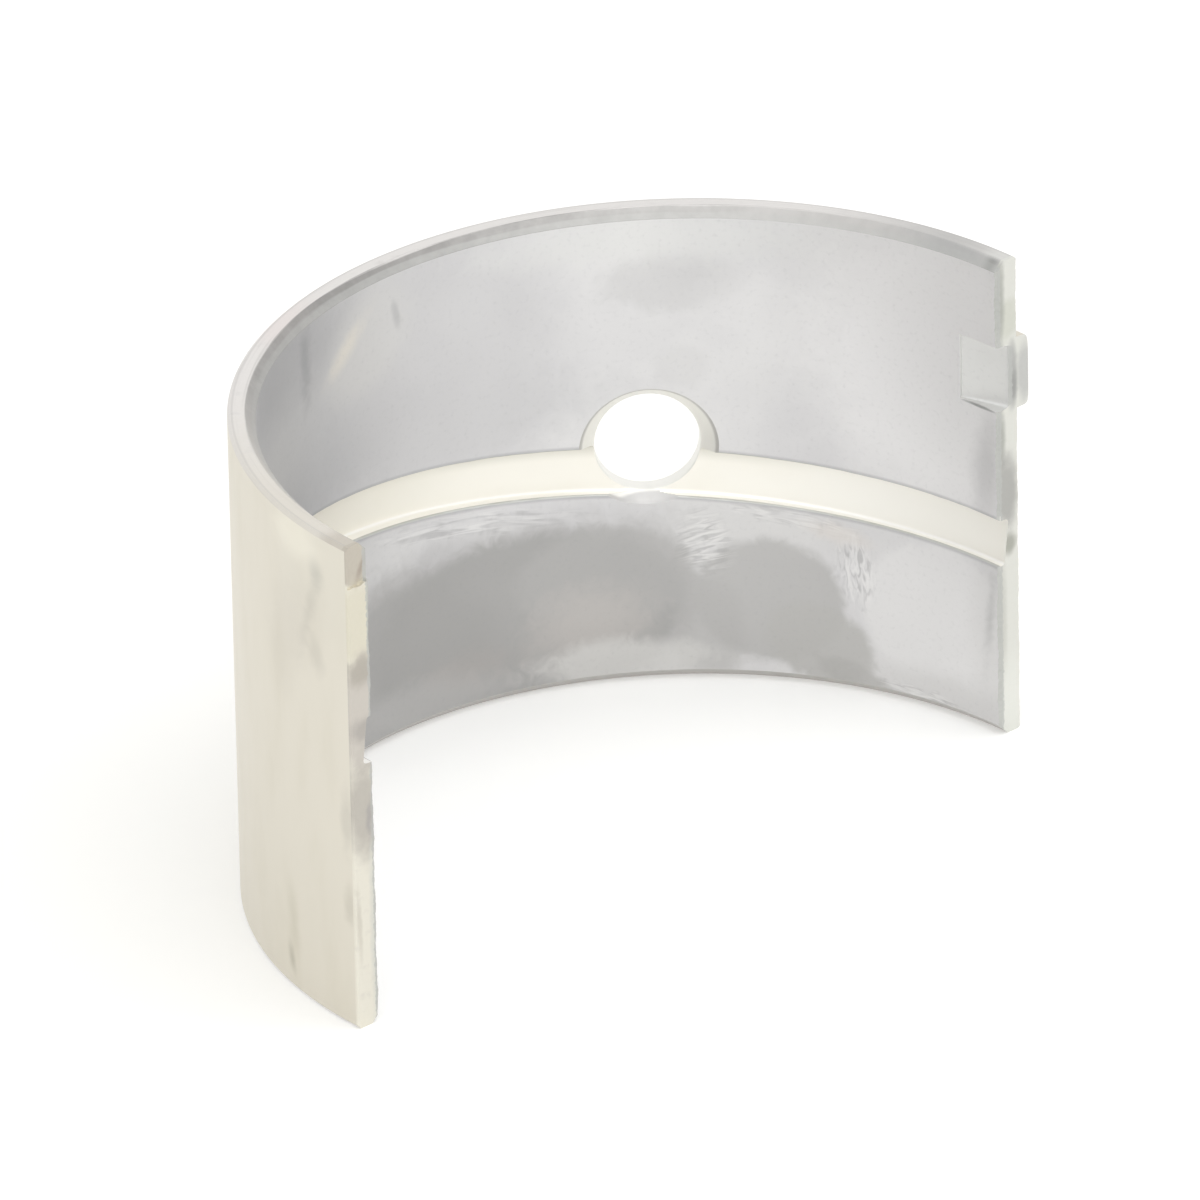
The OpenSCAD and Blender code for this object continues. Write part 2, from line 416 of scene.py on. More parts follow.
def run_tree(tree, values):
    """Runs a geometry tree with its inputs set by the sockets' identifiers, and returns a plain mesh whose
    slivers from the cuts are closed up."""
    carrier = mesh_object("carrier", [(0, 0, 0), (MM, 0, 0), (0, MM, 0)], [[0, 1, 2]])
    modifier = carrier.modifiers.new("Tree", "NODES")
    modifier.node_group = tree
    for socket in tree.interface.items_tree:
        if socket.in_out == "INPUT":
            modifier[socket.identifier] = values[socket.name]
    carrier.update_tag()
    evaluated = carrier.evaluated_get(bpy.context.evaluated_depsgraph_get())
    mesh = bpy.data.meshes.new_from_object(evaluated)
    carrier.modifiers.remove(modifier)
    bpy.data.objects.remove(carrier)
    form = bmesh.new()
    form.from_mesh(mesh)
    bmesh.ops.dissolve_degenerate(form, dist=SLIVER, edges=form.edges)
    form.to_mesh(mesh)
    form.free()
    return mesh


def sort_faces(mesh, sizes):
    """Gives each face its metal, by where its middle lies and which way it points. The rims' metal takes
    what is left: the rims with their chamfers, and the oil hole."""
    count = len(mesh.polygons)
    centre, normal = np.empty(count * 3), np.empty(count * 3)
    mesh.polygons.foreach_get("center", centre)
    mesh.polygons.foreach_get("normal", normal)
    centre, normal = centre.reshape(-1, 3), normal.reshape(-1, 3)
    x, y, z = centre.T
    reach = np.hypot(x, y)
    outward = (normal[:, 0] * x + normal[:, 1] * y) / reach
    slack = 0.02 * MM

    on_bore = (reach < sizes.bore_r + 0.1 * slack) & (outward < -0.95)
    on_back = ((reach > sizes.back_r - slack) & (abs(z) < sizes.width / 2 - sizes.back_chamfer)
               & (outward > -0.2))
    in_pocket = ((x > 0) & (y < sizes.pocket_l + slack)
                 & (abs(z - sizes.lug_offset) < sizes.pocket_w / 2 + slack)
                 & (reach < sizes.bore_r + sizes.pocket_depth + slack))

    # The hole's wall and countersink, by their distance from the hole's axis.
    axis = np.array(HOLE_AXIS)
    along = centre @ axis
    off = np.linalg.norm(centre - along[:, None] * axis, axis=1)
    cone = np.maximum(sizes.hole_r, sizes.hole_r + sizes.bore_r + sizes.countersink_w - along)
    in_hole = ((abs(off - cone) < 0.06 * MM) & (along > 0) & (off < sizes.hole_r + 1.5 * sizes.countersink_w)
               & (abs(normal @ axis) < 0.85))

    # The groove, by its distances from its own leaning plane and axis.
    lean = abs(z * math.cos(sizes.groove_tilt) + x * math.sin(sizes.groove_tilt))
    ring_reach = np.sqrt(np.maximum(x * x + y * y + z * z - lean * lean, 0.0))
    in_groove = ((lean < sizes.groove_w / 2 + 0.4 * MM)
                 & (ring_reach < sizes.bore_r + sizes.groove_depth + slack) & ~on_bore & ~in_hole)

    # The parting faces, with the dent and the broken edges.
    nicked = (x < 0) & (y < sizes.nick_depth * 1.3) & (z > sizes.width / 2 - sizes.nick_l * 1.1)
    at_edge = (y < sizes.parting_chamfer * 1.5) & (reach < sizes.back_r) & ~in_groove
    at_parting = ((normal[:, 1] < -0.9) & (y < slack)) | (nicked & ~on_back & ~on_bore) | (at_edge & ~on_bore)

    metal = np.full(count, RIM)
    metal[on_back] = FLASH
    metal[in_groove] = GROOVE
    metal[on_bore | in_pocket] = LINING
    metal[at_parting & ~in_pocket] = PARTING
    mesh.polygons.foreach_set("material_index", metal.astype(np.int32))


# Marks on the lining: turn and height of the middle, half length, half height, lean, softness of the edge,
# its waver, colour and strength. Turns and leans are in degrees, from the lug's end, the rest in millimetres.
LINING_MARKS = (
    # Over the groove, from the plain end to the lug's end.
    # The next two marks are painted shade: the plain end darker all over, and a dark band under its rim.
    (126, 12, 20, 30, 0, 30, 5, "#BEBEBF", 0.8),
    (117, 20.6, 12.5, 4, 0, 6, 2, "#98989A", 0.3),
    (105, 7.8, 10, 4.5, -12, 5, 3, "#C2C2C4", 0.4),
    (85, 6.5, 18, 3.5, 4, 4, 3, "#BDBDBE", 0.3),
    (82, 12, 11, 14, 0, 8, 3, "#CCCBCC", 0.75),
    (96, 17.1, 5.6, 4.4, -30, 3, 2, "#D6D5D3", 0.5),
    (100.2, 17.6, 2.6, 0.8, -37, 1.6, 0.9, "#EAE4D8", 0.55),
    (110.2, 19, 0.8, 3.2, 0, 1.4, 1.2, "#A3A3A5", 0.65),
    (90.1, 18.6, 0.35, 1.3, -12, 0.5, 0.5, "#A6A6A8", 0.4),
    (49, 16.4, 6.2, 2.8, 0, 1.8, 2.5, "#CFCECE", 0.7),
    (47.8, 7.8, 2.4, 2.2, 0, 1.4, 1.2, "#CECDCD", 0.35),
    (50, 20.8, 14, 2.2, 0, 3, 3, "#DFDFDD", 0.6),
    (34.9, 12.8, 6, 4.2, 20, 4.5, 3, "#E4E3E3", 0.5),
    # Painted light: the lug's end lighter all over.
    (9, 11, 13, 15, 0, 9, 3, "#F1F0F0", 0.8),
    (2.2, 2.4, 1.4, 4.2, 6, 2.6, 1.5, "#C3C2C3", 0.55),
    # Painted shade: a dark line along the pocket's lower edge.
    (3.4, 8.72, 1.7, 0.14, 0, 0.15, 0.05, "#9A9B99", 0.8),
    (4.1, 13.2, 0.3, 0.12, 10, 0.25, 0.1, "#9E9F9E", 0.7),
    # Under the groove: two round dark patches that run into each other, a painted reflection of dark
    # surroundings, and the lighter panel beside them.
    (40, -8, 10, 3, 0, 4, 2, "#D3D2D1", 0.6),
    (78, -8.2, 17, 2.6, 0, 3, 2, "#ACABAB", 0.4),
    (71.5, -15.8, 16.8, 8.7, 0, 2, 1.8, "#AAA9A8", 0.92),
    (58.6, -12.6, 8.4, 5, 0, 1.6, 1.2, "#B5B4B3", 0.85),
    (91, -16.6, 10, 8.7, 0, 3.6, 1.4, "#ACABAA", 0.9),
    (36.2, -15.3, 7, 6.1, 0, 1.4, 1.4, "#BCBBBA", 0.92),
    (29, -19.2, 5.2, 3.8, 18, 1.2, 1.4, "#BDBCBA", 0.9),
    (23.4, -22.4, 4.2, 1.5, 24, 0.8, 1, "#B8B7B5", 0.9),
    (44.7, -18.6, 3.2, 5, 0, 2, 1.5, "#BAB9B8", 0.8),
    (61, -17.4, 5.2, 3.6, 0, 4.5, 3, "#C4C0BD", 0.7),
    (56, -21.3, 8, 2.1, 0, 1.8, 2, "#D4D3D1", 0.85),
    (86.5, -21, 8.5, 2.2, 4, 2.2, 2, "#BFBEBD", 0.6),
    (79, -19, 4, 1.4, 5, 2.4, 2, "#B6B1AE", 0.4),
    (10.2, -14.3, 8.3, 7.6, 0, 1.3, 1.2, "#E2E1E1", 0.9),
    (0, -14, 3, 10, 0, 3.5, 1, "#D3D2D1", 0.5),
    (8, -21.8, 8, 2.2, 0, 3, 1.5, "#CFCECD", 0.6),
    (1.8, -12, 0.35, 3, 6, 1.2, 1.2, "#B0B0B0", 0.5),
    (26.7, -7.8, 2.8, 0.9, 8, 1.2, 0.8, "#E0DAD4", 0.5),
)

# Smears on the lining: turn and height of the middle, half length and half height of the area along its
# lean, the lean, length and width of one smear, and strength.
LINING_SMEARS = (
    (78.5, -4.8, 9, 1, 9, 4, 0.5, 0.4),
    (45.2, -9.6, 2.2, 2.8, -14, 2, 0.4, 0.4),
    (23.8, -11.6, 3, 1.6, 84, 1.4, 0.4, 0.45),
    (33, -6.9, 5, 0.8, 6, 2.4, 0.4, 0.3),
    (13, -22.4, 4.4, 0.6, 4, 2.2, 0.3, 0.4),
)

# Marks on the parting faces: place across the shell and height, then as for the lining. The near end is
# at -X and the end with the lug at +X.
PARTING_MARKS = (
    (-38.8, 21.8, 2.2, 2.2, 0, 0.4, 0.3, "#C1BAAE", 0.95),
    (-38, 21.2, 0.3, 1.7, -28, 0.5, 0.3, "#A3968B", 0.7),
    (-38.8, 15.8, 2.5, 3.9, 0, 1.4, 1, "#DAD5C4", 0.9),
    (-38.6, 7, 2.5, 5.6, 0, 1.2, 1.2, "#C6C0B9", 0.85),
    (-38.6, 11.2, 1.4, 1.4, 10, 1.3, 1.4, "#AFA99F", 0.75),
    (-38.5, 5.5, 1.5, 1.1, -8, 1.3, 1.2, "#ADA8A3", 0.75),
    (-38.7, -2.4, 1.8, 4.5, 4, 1.5, 1.2, "#BBB6AE", 0.9),
    (-38, -3.6, 0.5, 1.9, 0, 0.6, 0.8, "#A5A1A0", 0.7),
    (-39.6, -13.5, 0.25, 3, 2, 0.4, 0.4, "#BDB6AA", 0.4),
    (-37.9, -14, 0.4, 9, 0, 0.5, 0.5, "#D2D2CB", 0.7),
    (39.5, 0, 4, 30, 0, 1, 0, "#DBDBD5", 1),
    (38.7, 17.6, 1.5, 2, 0, 1, 1.2, "#CDCEC4", 0.8),
    (37.9, 19.6, 0.5, 4.2, 0, 0.6, 0.4, "#A9AAA4", 0.8),
    (37.9, 6, 0.5, 2.6, 0, 0.6, 0.4, "#A6A7A1", 0.8),
    (37.9, -12, 0.5, 6, 0, 0.6, 0.4, "#C6C6BF", 0.7),
    (39.6, 14.2, 0.5, 0.7, 0, 0.5, 0.3, "#D6D7D1", 0.7),
    (38.5, 0.6, 1.3, 3.6, 0, 1.2, 0.8, "#A8A7A4", 0.85),
    (38.8, -4.6, 0.7, 1, 0, 0.8, 0.6, "#A3A39A", 0.85),
    (39, -20, 1.8, 3.5, 0, 3, 1, "#E6E7E1", 0.7),
    (40.9, 11.8, 1, 2.7, 0, 0.8, 0.4, "#BFBFBD", 0.9),
    (39.3, 12, 0.65, 3.1, 0, 0.5, 0.3, "#B0B0AE", 0.9),
    (39.5, 10.9, 0.4, 1.5, 0, 0.6, 0.3, "#9C9C9A", 0.8),
)

# Marks on the flashed back: turn and height, then as for the lining.
BACK_MARKS = (
    (176, 19, 6, 5, 0, 5, 2, "#DFDBCF", 0.5),
    (166.5, 12.5, 2.6, 5.5, -16, 4, 2, "#D3CEC3", 0.5),
    (171.5, 14.5, 2.4, 4, -10, 4, 2, "#D6D1C6", 0.4),
    (178.8, -3.4, 0.7, 2.6, 0, 1, 1, "#BDB9B0", 0.4),
    (179, -11.5, 0.6, 1.6, 0, 1, 1, "#BEB9AC", 0.4),
    (173.6, 19.6, 0.8, 1.2, 12, 1.4, 1, "#BDBBB3", 0.45),
    (172, 15.4, 0.5, 2.6, -18, 1.4, 1.2, "#BFBBB1", 0.4),
    (173.2, 11.6, 0.8, 1.6, 10, 1.4, 1.2, "#C4C0B5", 0.4),
    (165.7, -20.8, 0.4, 1, 12, 0.9, 0.6, "#A8A494", 0.5),
    (166.3, -16.4, 0.6, 2.4, 8, 1.6, 1.2, "#C5C0AE", 0.4),
    (169, 21.8, 3, 1.8, 0, 2.4, 1.5, "#EEEADD", 0.6),
    (120, 8, 9, 5, 20, 7, 4, "#CFCABE", 0.5),
    (84, -9, 12, 4, -10, 6, 4, "#D2CCC0", 0.5),
    (38, 6, 8, 7, 30, 7, 4, "#CDC8BC", 0.5),
    (100, -18, 1.5, 2.5, 20, 1.5, 1.5, "#B9B5AA", 0.4),
    (62, 15, 1, 3, -15, 1.2, 1.2, "#BCB8AE", 0.4),
    (14, -14, 1.4, 3.4, 8, 1.6, 1.5, "#B9B5AA", 0.4),
)

# Marks on the rims, on their chamfers towards the bore, and round the oil hole.
RIM_MARKS = (
    (168, 23.2, 12, 3, 0, 8, 3, "#DAD5C9", 0.8),
    (179, 23.2, 2.6, 3, 0, 2, 1, "#C3BCB0", 0.7),
    (112, 23.2, 4, 3, 0, 4, 2, "#E4DBD8", 0.7),
    (10, 23.2, 6, 3, 0, 10, 3, "#A2A2A0", 0.85),
    (45, 23.2, 26, 3, 0, 20, 3, "#D9D7D5", 0.6),
    (0.5, 23.2, 2, 3, 0, 2, 1, "#DADAD6", 0.6),
)
CHAMFER_MARKS = (
    (52, 23.2, 26, 3, 0, 14, 3, "#BEBDBB", 0.9),
    (97, 23.2, 21, 3, 0, 14, 3, "#595856", 0.97),
    (163, 23.2, 9, 3, 0, 9, 3, "#D8D5CE", 0.8),
    (179, 23.2, 2.6, 3, 0, 2, 1, "#BCB7B0", 0.7),
    (8, 23.2, 5, 3, 0, 5, 2, "#ADADAC", 0.8),
    (1.6, 23, 0.5, 1.4, 0, 1.2, 0.4, "#868784", 0.7),
)
HOLE_MARKS = (
    (52.5, 0, 5.98, 5.55, 0, 0.25, 0.1, "#F3F2ED", 1),
    (52.5, -5.6, 4.2, 0.75, 0, 0.3, 0.05, "#C6C5C4", 0.9),
)

# Marks in the groove. The first is painted light: it lifts the groove's far end, over the painted shade
# there.
GROOVE_MARKS = (
    (14, -4, 14, 8, 0, 12, 1, "#FFFDF6", 0.95),
    (106, 2, 8, 6, 0, 9, 2, "#EFEBE0", 0.8),
    (90, 1, 6, 6, 0, 7, 2, "#F1EEE3", 0.5),
)

# Tones along edges and in the grain: painted shade along the groove's edges, the pocket's tone, the grain's
# grey, painted shade towards the groove's upper wall, a painted highlight on its lower wall, and the rims'
# edge line.
GROOVE_EDGE_SHADE, POCKET_TONE, GRAIN_GREY = "#A3A3A6", "#DFDFDD", "#8C8D8E"
GROOVE_SHADE, GROOVE_WALL_HIGHLIGHT, RIM_LINE = "#DAD8CE", "#F8F7F4", "#B4B2AF"

# The light and the dark tone of a smear: where the pattern's value starts and ends it, and its colour.
SMEAR_TONES = ((0.46, 0.7, "#F0EFEE"), (0.5, 0.26, "#A09FA0"))


# Metals

def principled(name, metallic):
    """A new material with one Principled shader, as its tree, that shader and the material."""
    made = bpy.data.materials.new(name)
    made.use_nodes = True
    shader = made.node_tree.nodes["Principled BSDF"]
    shader.inputs["Metallic"].default_value = metallic
    return made.node_tree, shader, made


def strip_place(tree):
    """Where a point is, in millimetres: in the frame, round and along the strip, and from the axis."""
    place = node(tree, "ShaderNodeTexCoord", out="Object")
    place = node(tree, VECTOR_MATH, {0: place, "Scale": 1 / MM}, operation="SCALE")
    x, y, z = node(tree, SEPARATE, [place], out=(0, 1, 2))
    reach = node(tree, COMBINE, (x, y, 0.0))
    reach = node(tree, VECTOR_MATH, [reach], out="Value", operation="LENGTH")
    # On the parting plane y is kept over 0, so that the turn doesn't jump.
    y = node(tree, MATH, (y, 0.001), operation="MAXIMUM")
    turn = node(tree, MATH, (y, x), operation="ARCTAN2")
    along = node(tree, MATH, (turn, BORE_R / MM), operation="MULTIPLY")
    return place, node(tree, COMBINE, (along, z, 0.0)), reach


def round_strip(marks):
    """Marks whose first number is a turn in degrees, with it as a length round the bore instead."""
    return [(math.radians(mark[0]) * BORE_R / MM, *mark[1:]) for mark in marks]


def cover(tree, tone, other, value, low, high, strength=1.0, within=None):
    """Lays another colour over a tone, from none of it where value is low to strength where it is high.
    other is a colour or its hex value, and within is a mask that holds it back."""
    mask = node(tree, MAP_RANGE, {"Value": value, "From Min": low, "From Max": high, "To Max": strength},
                interpolation_type="SMOOTHSTEP")
    if within is not None:
        mask = node(tree, MATH, (mask, within), operation="MULTIPLY")
    other = linear(other) if isinstance(other, str) else other
    return node(tree, "ShaderNodeMix", {0: mask, MIX_A: tone, MIX_B: other}, out=MIX_OUT, data_type="RGBA")


def oval(tree, flat, middle, half, lean, soft, ripple, wavering):
    """How far a point is from the middle of an oval, with 1 at its edge, which ripple moves, and the values
    where that soft edge starts and ends."""
    local = node(tree, MAPPING, {"Vector": flat, "Location": (*middle, 0.0), "Scale": (*half, 1.0),
                 "Rotation": (0.0, 0.0, math.radians(lean))}, vector_type="TEXTURE")
    span = node(tree, VECTOR_MATH, [local], out="Value", operation="LENGTH")
    size = min(half)
    span = node(tree, MATH, (ripple, wavering / size, span), operation="MULTIPLY_ADD")
    return span, 1.0 + soft / size / 2, 1.0 - soft / size / 2


def marked(tree, flat, ripple, tone, marks):
    """Lays the marks of a table over a tone."""
    for x, y, half_x, half_y, lean, soft, wavering, hex_colour, strength in marks:
        edge = oval(tree, flat, (x, y), (half_x, half_y), lean, soft, ripple, wavering)
        tone = cover(tree, tone, hex_colour, *edge, strength)
    return tone


def smeared(tree, flat, ripple, tone, smears):
    """Lays the short light and dark smears of a table over a tone."""
    for x, y, half_x, half_y, lean, smear_l, smear_w, strength in smears:
        span, start, end = oval(tree, flat, (x, y), (half_x, half_y), lean, min(half_x, half_y), ripple, 1.5)
        area = node(tree, MAP_RANGE, {"Value": span, "From Min": start, "From Max": end},
                    interpolation_type="SMOOTHSTEP")
        local = node(tree, MAPPING, {"Vector": flat, "Rotation": (0.0, 0.0, math.radians(lean)),
                     "Scale": (smear_l, smear_w, 1.0)}, vector_type="TEXTURE")
        grain = node(tree, NOISE, {"Vector": local, "Scale": 1.0, "Detail": 1.5, "Distortion": 0.8},
                     noise_dimensions="2D")
        for low, high, hex_colour in SMEAR_TONES:
            tone = cover(tree, tone, hex_colour, grain, low, high, strength, within=area)
    return tone


def blotches(tree, place, size_mm, squeeze=None, **inputs):
    """A cloudy pattern with 0 as its mean and blotches about size_mm across. squeeze makes them that many
    times narrower along each axis."""
    if squeeze:
        place = node(tree, VECTOR_MATH, (place, squeeze), operation="MULTIPLY")
    cloud = node(tree, NOISE, {"Vector": place, "Scale": 1.0 / size_mm, "Detail": 3.0, **inputs})
    return node(tree, MATH, (cloud, 0.5), operation="SUBTRACT")


def groove_lean(tree, place, sizes):
    """How far a point is above the middle of the leaning groove, in millimetres."""
    lean = (math.sin(sizes.groove_tilt), 0.0, math.cos(sizes.groove_tilt))
    return node(tree, VECTOR_MATH, (place, lean), out="Value", operation="DOT_PRODUCT")


def finish(tree, shader, tone, cloud, rough_range, height, bump_mm):
    """Wires a tone, a roughness that follows a cloudy pattern, and a fine relief to a shader."""
    tree.links.new(tone, shader.inputs["Base Color"])
    rough = node(tree, MAP_RANGE, {"Value": cloud, "From Min": -0.25, "From Max": 0.25,
                 "To Min": rough_range[0], "To Max": rough_range[1]})
    tree.links.new(rough, shader.inputs["Roughness"])
    bump = node(tree, "ShaderNodeBump", {"Strength": 0.5, "Distance": bump_mm * MM, "Height": height})
    tree.links.new(bump, shader.inputs["Normal"])


def lining_metal(colours, sizes):
    """Aluminium-tin bearing alloy, rolled onto the steel and bored. It is a soft satin grey, and oil and
    handling leave cloudy films and short smears on it. Under the groove two round dark patches are a painted
    reflection. The plain end is darker with painted shade and the lug's end lighter with painted light, and
    painted shade lies under the plain end's rim, along the pocket's lower edge and in a thin line along the
    milled groove. It is cleaner in the pocket, where the punch pressed it."""
    tree, shader, made = principled("aluminium_tin_lining", 0.85)
    place, flat, reach = strip_place(tree)
    ripple = blotches(tree, flat, 2.2, Distortion=1.2)
    cloud = blotches(tree, flat, 13.0)
    grain = blotches(tree, flat, 0.45)
    tone = cover(tree, colours.lining, colours.lining_cloud, cloud, -0.15, 0.2)
    tone = marked(tree, flat, ripple, tone, round_strip(LINING_MARKS))
    tone = smeared(tree, flat, ripple, tone, round_strip(LINING_SMEARS))
    # Painted shade: a thin darker line along both edges of the groove.
    beside = node(tree, MATH, [groove_lean(tree, place, sizes)], operation="ABSOLUTE")
    edge = sizes.groove_w / MM / 2
    tone = cover(tree, tone, GROOVE_EDGE_SHADE, beside, edge + 0.5, edge + 0.15, 0.5)
    bore = BORE_R / MM
    tone = cover(tree, tone, POCKET_TONE, reach, bore + 0.02, bore + 0.12)
    tone = cover(tree, tone, GRAIN_GREY, grain, 0.0, -0.5, 0.2)
    # Boring leaves rings about 0.1 mm apart. They are drawn 0.5 mm apart, so that they show.
    rings = blotches(tree, flat, 1.0, (0.03, 2.0, 0.0))
    height = node(tree, MATH, (ripple, 1.2, rings), operation="MULTIPLY_ADD")
    finish(tree, shader, tone, cloud, (0.38, 0.5), height, 0.012)
    return made


def flash_metal(colours):
    """Thin tin flash over rolled steel. It is a warm silky white, with faint upright smears from the
    plating rack and grey marks from handling."""
    tree, shader, made = principled("tin_flashed_steel", 0.8)
    flat = strip_place(tree)[1]
    ripple = blotches(tree, flat, 2.5, Distortion=0.8)
    smear = blotches(tree, flat, 4.0, (1.0, 0.3, 0.0))
    grain = blotches(tree, flat, 0.5)
    tone = cover(tree, colours.flash, colours.flash_thin, smear, -0.05, 0.25, 0.8)
    tone = marked(tree, flat, ripple, tone, round_strip(BACK_MARKS))
    height = node(tree, MATH, (ripple, 1.5, grain), operation="MULTIPLY_ADD")
    finish(tree, shader, tone, smear, (0.4, 0.52), height, 0.012)
    return made


def groove_metal(colours, sizes):
    """The milled groove, tinned over bare steel: the warmest and brightest metal of the shell, with fine
    marks of the cutter along it. Painted shade darkens it towards its upper wall, save at its far end, where
    painted light lifts it, and a painted highlight runs along its lower wall. Its lips show the grey section
    of the lining as a thin line."""
    tree, shader, made = principled("tinned_groove", 0.75)
    place, flat, reach = strip_place(tree)
    ripple = blotches(tree, flat, 2.5)
    cloud = blotches(tree, flat, 7.0)
    # The cutter's marks are about 0.1 mm apart. They are drawn 0.4 mm apart, so that they show.
    cuts = blotches(tree, flat, 1.0, (0.06, 2.4, 0.0))
    lean = groove_lean(tree, place, sizes)
    half, bore = sizes.groove_w / MM / 2, BORE_R / MM
    tone = cover(tree, colours.groove, colours.groove_warm, cloud, 0.0, 0.3, 0.6)
    # Painted shade towards the groove's upper wall.
    tone = cover(tree, tone, GROOVE_SHADE, lean, half - 1.5, half, 0.85)
    tone = marked(tree, flat, ripple, tone, round_strip(GROOVE_MARKS))
    # A painted highlight along the groove's lower wall.
    tone = cover(tree, tone, GROOVE_WALL_HIGHLIGHT, lean, 0.3 - half, 0.1 - half, 0.85)
    tone = cover(tree, tone, colours.section, reach, bore + 0.3, bore + 0.15, 0.9)
    finish(tree, shader, tone, cloud, (0.4, 0.5), cuts, 0.015)
    return made


def rim_metal(colours, sizes):
    """The sheared and chamfered rims and the drilled oil hole, tinned with the rest. Fine scratches run
    along the rims, a greyer line runs just inside their outer edge, and the chamfer cuts into the grey
    lining, darkest towards the crown."""
    tree, shader, made = principled("tinned_rim", 0.8)
    place, flat, reach = strip_place(tree)
    ripple = blotches(tree, place, 1.6)
    speck = blotches(tree, place, 0.5)
    along = node(tree, SEPARATE, [flat])
    # The shears' scratches are hair-fine. They are drawn 0.4 mm apart, so that they show.
    scratch = blotches(tree, node(tree, COMBINE, (along, reach, 0.0)), 1.0, (0.08, 2.6, 0.0))
    tone = cover(tree, colours.rim, colours.rim_grey, scratch, 0.0, 0.3, 0.9)
    tone = cover(tree, tone, colours.rim_grey, ripple, 0.05, 0.3, 0.5)
    tone = marked(tree, flat, ripple, tone, round_strip(RIM_MARKS))
    edge_r = (sizes.back_r - sizes.back_chamfer) / MM
    inside = node(tree, MAP_RANGE, {"Value": reach, "From Min": edge_r + 0.02, "From Max": edge_r - 0.08},
                  interpolation_type="SMOOTHSTEP")
    tone = cover(tree, tone, RIM_LINE, reach, edge_r - 0.3, edge_r - 0.12, 0.3, within=inside)
    bond = node(tree, MATH, (scratch, 0.6, reach), operation="MULTIPLY_ADD")
    chamfer_r = (sizes.bore_r + sizes.rim_chamfer) / MM
    # The chamfer's tone, with marks that make it much darker towards the crown.
    chamfer_tone = marked(tree, flat, ripple, colours.rim_grey, round_strip(CHAMFER_MARKS))
    tone = cover(tree, tone, chamfer_tone, bond, chamfer_r + 0.16, chamfer_r - 0.12, 0.9)
    bond_r = (sizes.bore_r + sizes.lining) / MM
    tone = cover(tree, tone, colours.section, bond, bond_r + 0.12, bond_r - 0.12, 0.35)
    tone = marked(tree, flat, ripple, tone, round_strip(HOLE_MARKS))
    finish(tree, shader, tone, speck, (0.42, 0.55), scratch, 0.015)
    return made


def parting_metal(colours, sizes):
    """The broached parting faces, thinly tinned. The lining shows as a grey line along the bore, also
    where the lug's pocket pushed it outwards, and handling has worn the tin to grey in places."""
    tree, shader, made = principled("tinned_parting_face", 0.75)
    place, _, reach = strip_place(tree)
    x, z = node(tree, SEPARATE, [place], out=(0, 2))
    face = node(tree, COMBINE, (x, z, 0.0))
    ripple = blotches(tree, face, 1.4)
    speck = blotches(tree, face, 0.45)
    tone = cover(tree, colours.parting, colours.parting_grey, ripple, 0.03, 0.3, 0.5)
    tone = marked(tree, face, ripple, tone, PARTING_MARKS)
    # The bond between steel and lining, which moves out by the pocket's depth at the lug.
    half = sizes.pocket_w / MM / 2
    pocket = node(tree, MATH, (z, sizes.lug_offset / MM), operation="SUBTRACT")
    pocket = node(tree, MATH, [pocket], operation="ABSOLUTE")
    pocket = node(tree, MAP_RANGE, {"Value": pocket, "From Min": half + 0.2, "From Max": half - 0.4},
                  interpolation_type="SMOOTHSTEP")
    lug_end = node(tree, MATH, (x, 0.0), operation="GREATER_THAN")
    pocket = node(tree, MATH, (pocket, lug_end), operation="MULTIPLY")
    bond_r = (sizes.bore_r + sizes.lining) / MM
    bond = node(tree, MATH, (pocket, sizes.pocket_depth / MM, bond_r), operation="MULTIPLY_ADD")
    bond = node(tree, MATH, (reach, bond), operation="SUBTRACT")
    bond = node(tree, MATH, (speck, 0.5, bond), operation="MULTIPLY_ADD")
    tone = cover(tree, tone, colours.section, bond, 0.08, -0.08, 0.8)
    finish(tree, shader, tone, speck, (0.38, 0.5), ripple, 0.03)
    return made


# Studio

# Soft boxes: name, place in metres, diameter in metres and power in watts.
STUDIO_LIGHTS = (
    ("top_softbox", (0.10, -0.35, 1.30), 1.5, 5.9),
    ("left_softbox", (-1.00, -0.60, 0.70), 1.0, 2.3),
    ("right_softbox", (0.95, -0.75, 0.65), 1.0, 1.9),
)

# How bright the white surroundings are as light, how much the floor glows where it is seen, and half the
# floor's side in metres.
WORLD_LEVEL = 0.72
FLOOR_GLOW = 0.2
FLOOR_HALF = 4.0

# The camera of the photo: where it stands round the shell, in degrees, how far off in metres, its lens, and
# the point that it looks at, which its last two values move aside and up.
CAMERA_AZIMUTH, CAMERA_ELEVATION, CAMERA_ROLL = -42.45, 27.50, -1.12
CAMERA_DISTANCE = 1.887
CAMERA_LENS_MM, CAMERA_SENSOR_MM = 643.0, 36.0
CAMERA_CLIP = 0.1, 20.0
CAMERA_TARGET = (0.0, 0.014, 0.0005)
CAMERA_ASIDE, CAMERA_ABOVE = 0.00166, -0.00153


def seen_rays(tree):
    """1 for camera, glossy and transmission rays, which all show the white background."""
    made = tree.nodes.new("ShaderNodeLightPath")
    seen = made.outputs["Is Camera Ray"]
    for name in ("Is Glossy Ray", "Is Transmission Ray"):
        seen = node(tree, MATH, (seen, made.outputs[name]), operation="MAXIMUM")
    return seen


def white_world(scene):
    """An even white surrounding: full white where it is seen, and a softer level as light."""
    world = bpy.data.worlds.new("white_studio")
    world.use_nodes = True
    tree = world.node_tree
    level = node(tree, MAP_RANGE, {"Value": seen_rays(tree), "To Min": WORLD_LEVEL, "To Max": 1.0})
    tree.links.new(level, tree.nodes["Background"].inputs["Strength"])
    tree.nodes["Background"].inputs["Color"].default_value = (1.0, 1.0, 1.0, 1.0)
    scene.world = world


